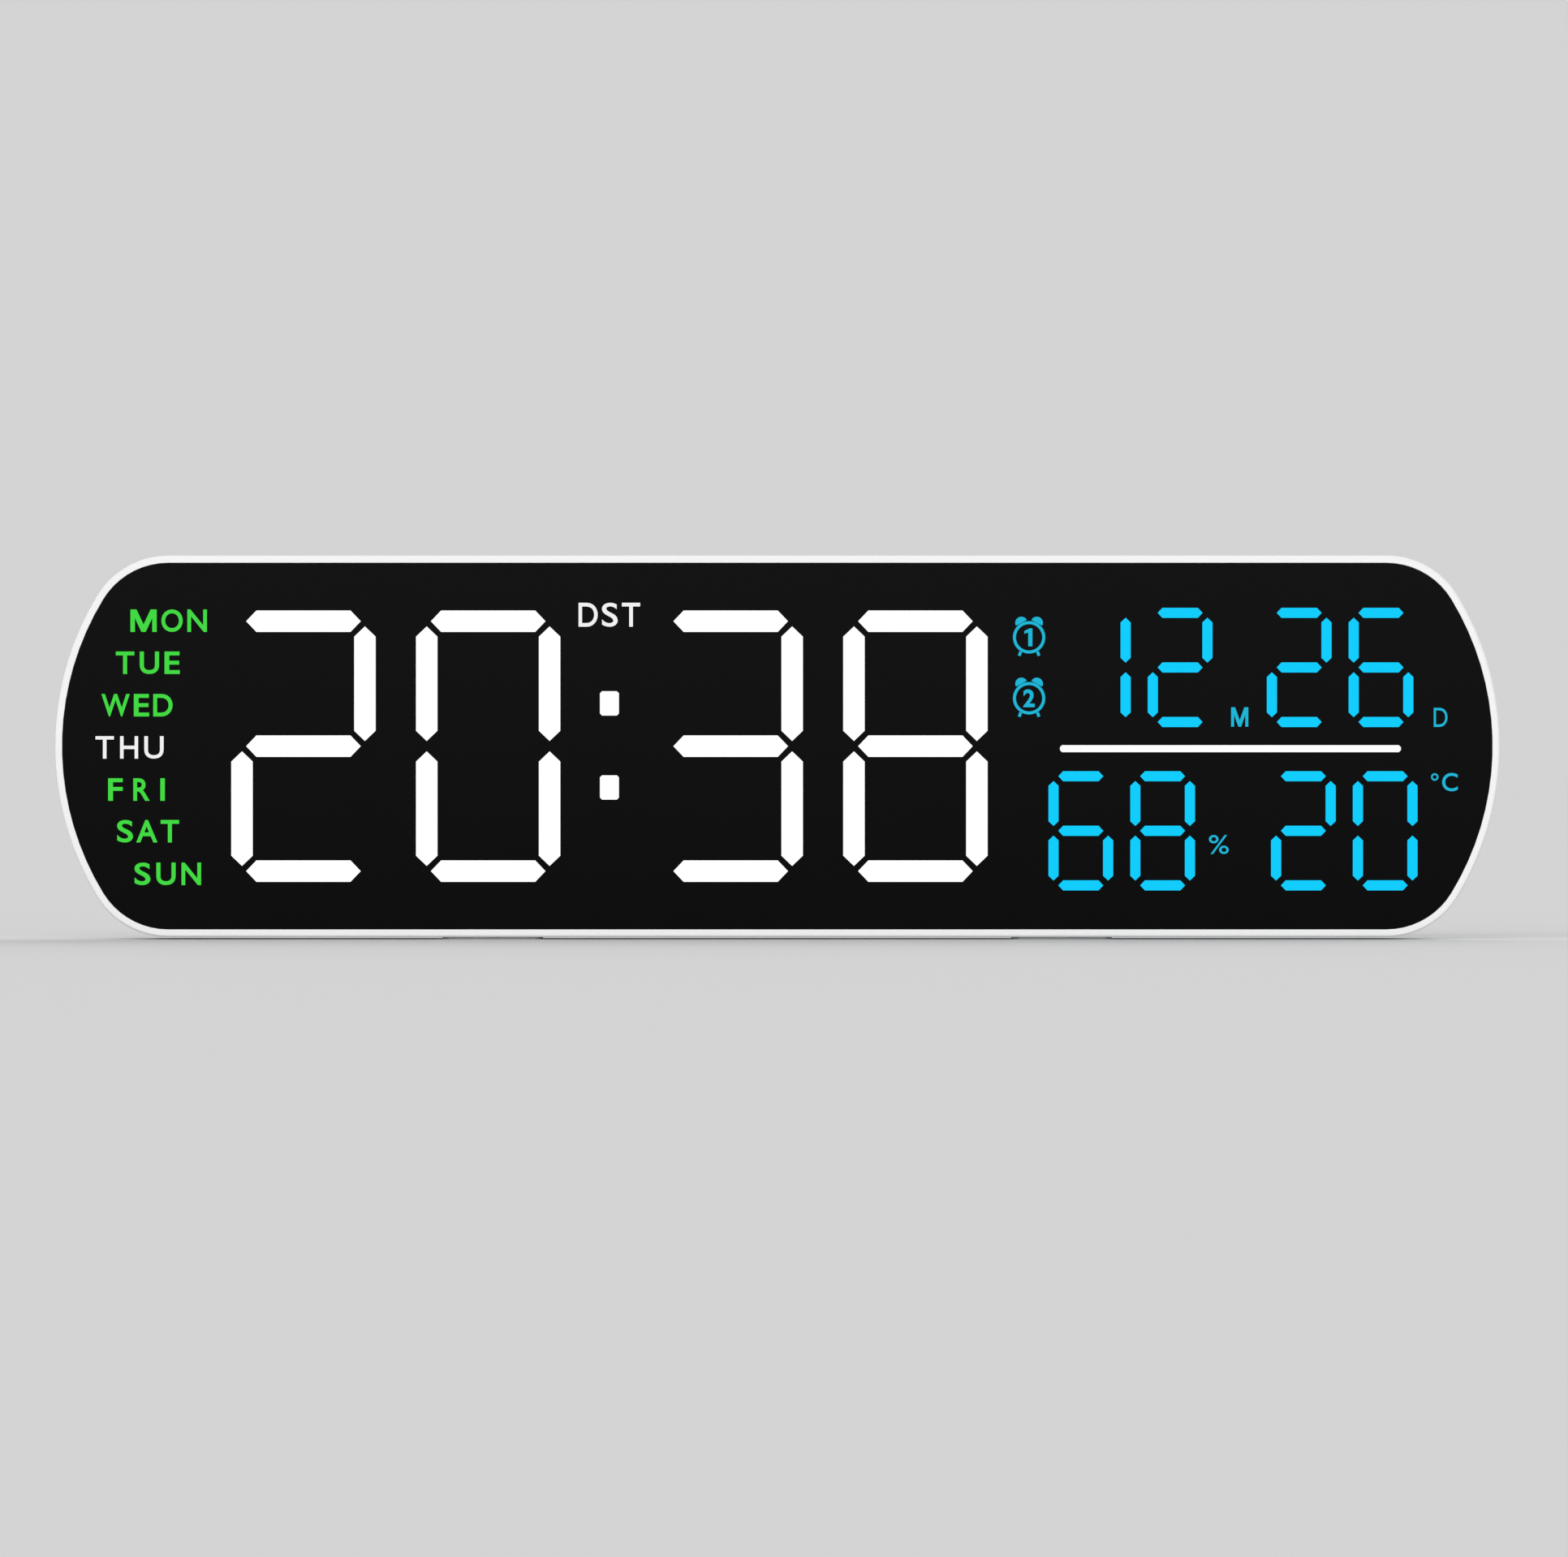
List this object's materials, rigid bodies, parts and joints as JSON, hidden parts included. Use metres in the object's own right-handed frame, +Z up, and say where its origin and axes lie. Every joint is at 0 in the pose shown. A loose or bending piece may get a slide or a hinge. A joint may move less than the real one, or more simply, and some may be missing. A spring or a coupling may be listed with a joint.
{
  "type": "LED day clock",
  "caption": "Wide flat LED day clock with shallow round ends, white rim, glossy black face, segment digits, rear keys, fold-out legs and wall keyholes.",
  "frame": {"origin": "middle of the surface that the clock stands on", "axes": "+X along the clock, the display faces -Y, +Z up"},
  "size_m": [0.38, 0.028, 0.101],
  "materials": {
    "case_white": "satin moulded",
    "face_black": "polished",
    "segment_white": "lit from behind",
    "segment_cyan": "lit from behind",
    "diffuser_white": "matte film",
    "tray_white": "matte moulded",
    "board_green": "solder mask",
    "lamp_clear": "clear resin",
    "chip_black": "matte moulded",
    "sensor_white": "matte moulded",
    "can_metal": "satin",
    "steel": "plated",
    "key_grey": "matte moulded",
    "pad_rubber": "matte"
  },
  "bodies": {
    "clock": {"front_frame": "case_white", "rear_cover": "case_white", "face_panel": "face_black", "hours_tens_digit": "segment_white", "hours_units_digit": "segment_white", "minutes_tens_digit": "segment_white", "minutes_units_digit": "segment_white", "colon_dots": "segment_white", "divider_bar": "segment_white", "month_tens_digit": "segment_cyan", "month_units_digit": "segment_cyan", "day_tens_digit": "segment_cyan", "day_units_digit": "segment_cyan", "humidity_tens_digit": "segment_cyan", "humidity_units_digit": "segment_cyan", "temperature_tens_digit": "segment_cyan", "temperature_units_digit": "segment_cyan", "diffuser_sheet": "diffuser_white", "light_tray": "tray_white", "led_board": "board_green", "segment_leds": "lamp_clear", "driver_chips": "chip_black", "control_chip": "chip_black", "buzzer": "chip_black", "coin_cell_holder": "chip_black", "tact_switches": "chip_black", "climate_sensor": "sensor_white", "clock_crystal": "can_metal", "supply_capacitors": "can_metal", "usb_socket": "steel", "coin_cell": "steel", "battery_contacts": "steel", "leg_pin_left": "steel", "leg_pin_right": "steel", "case_screws": "steel", "base_pads": "pad_rubber"},
    "light_button": {"light_key": "key_grey", "switch_plunger_1": "key_grey"},
    "alarm_button": {"alarm_key": "key_grey", "switch_plunger_2": "key_grey"},
    "down_button": {"down_key": "key_grey", "switch_plunger_3": "key_grey"},
    "up_button": {"up_key": "key_grey", "switch_plunger_4": "key_grey"},
    "set_button": {"set_key": "key_grey", "switch_plunger_5": "key_grey"},
    "left_leg": {"stand_leg_left": "case_white", "leg_pad_left": "pad_rubber"},
    "right_leg": {"stand_leg_right": "case_white", "leg_pad_right": "pad_rubber"},
    "door": {"battery_door": "case_white"}
  },
  "joints": [
    {"name": "light_key_press", "type": "slide", "parent": "clock", "child": "light_button", "axis": [0, -1, 0], "range_m": [0, 0.0005], "stiffness_N_per_m": 1500},
    {"name": "alarm_key_press", "type": "slide", "parent": "clock", "child": "alarm_button", "axis": [0, -1, 0], "range_m": [0, 0.0005], "stiffness_N_per_m": 1500},
    {"name": "down_key_press", "type": "slide", "parent": "clock", "child": "down_button", "axis": [0, -1, 0], "range_m": [0, 0.0005], "stiffness_N_per_m": 1500},
    {"name": "up_key_press", "type": "slide", "parent": "clock", "child": "up_button", "axis": [0, -1, 0], "range_m": [0, 0.0005], "stiffness_N_per_m": 1500},
    {"name": "set_key_press", "type": "slide", "parent": "clock", "child": "set_button", "axis": [0, -1, 0], "range_m": [0, 0.0005], "stiffness_N_per_m": 1500},
    {"name": "left_leg_fold", "type": "hinge", "parent": "clock", "child": "left_leg", "pos_m": [-0.12, 0.0106, 0.0034], "axis": [-1, 0, 0], "range_deg": [0, 90]},
    {"name": "right_leg_fold", "type": "hinge", "parent": "clock", "child": "right_leg", "pos_m": [0.12, 0.0106, 0.0034], "axis": [-1, 0, 0], "range_deg": [0, 90]},
    {"name": "battery_door_tilt", "type": "hinge", "parent": "clock", "child": "door", "pos_m": [0.045, 0.014, 0.0278], "axis": [-1, 0, 0], "range_deg": [0, 75]}
  ]
}
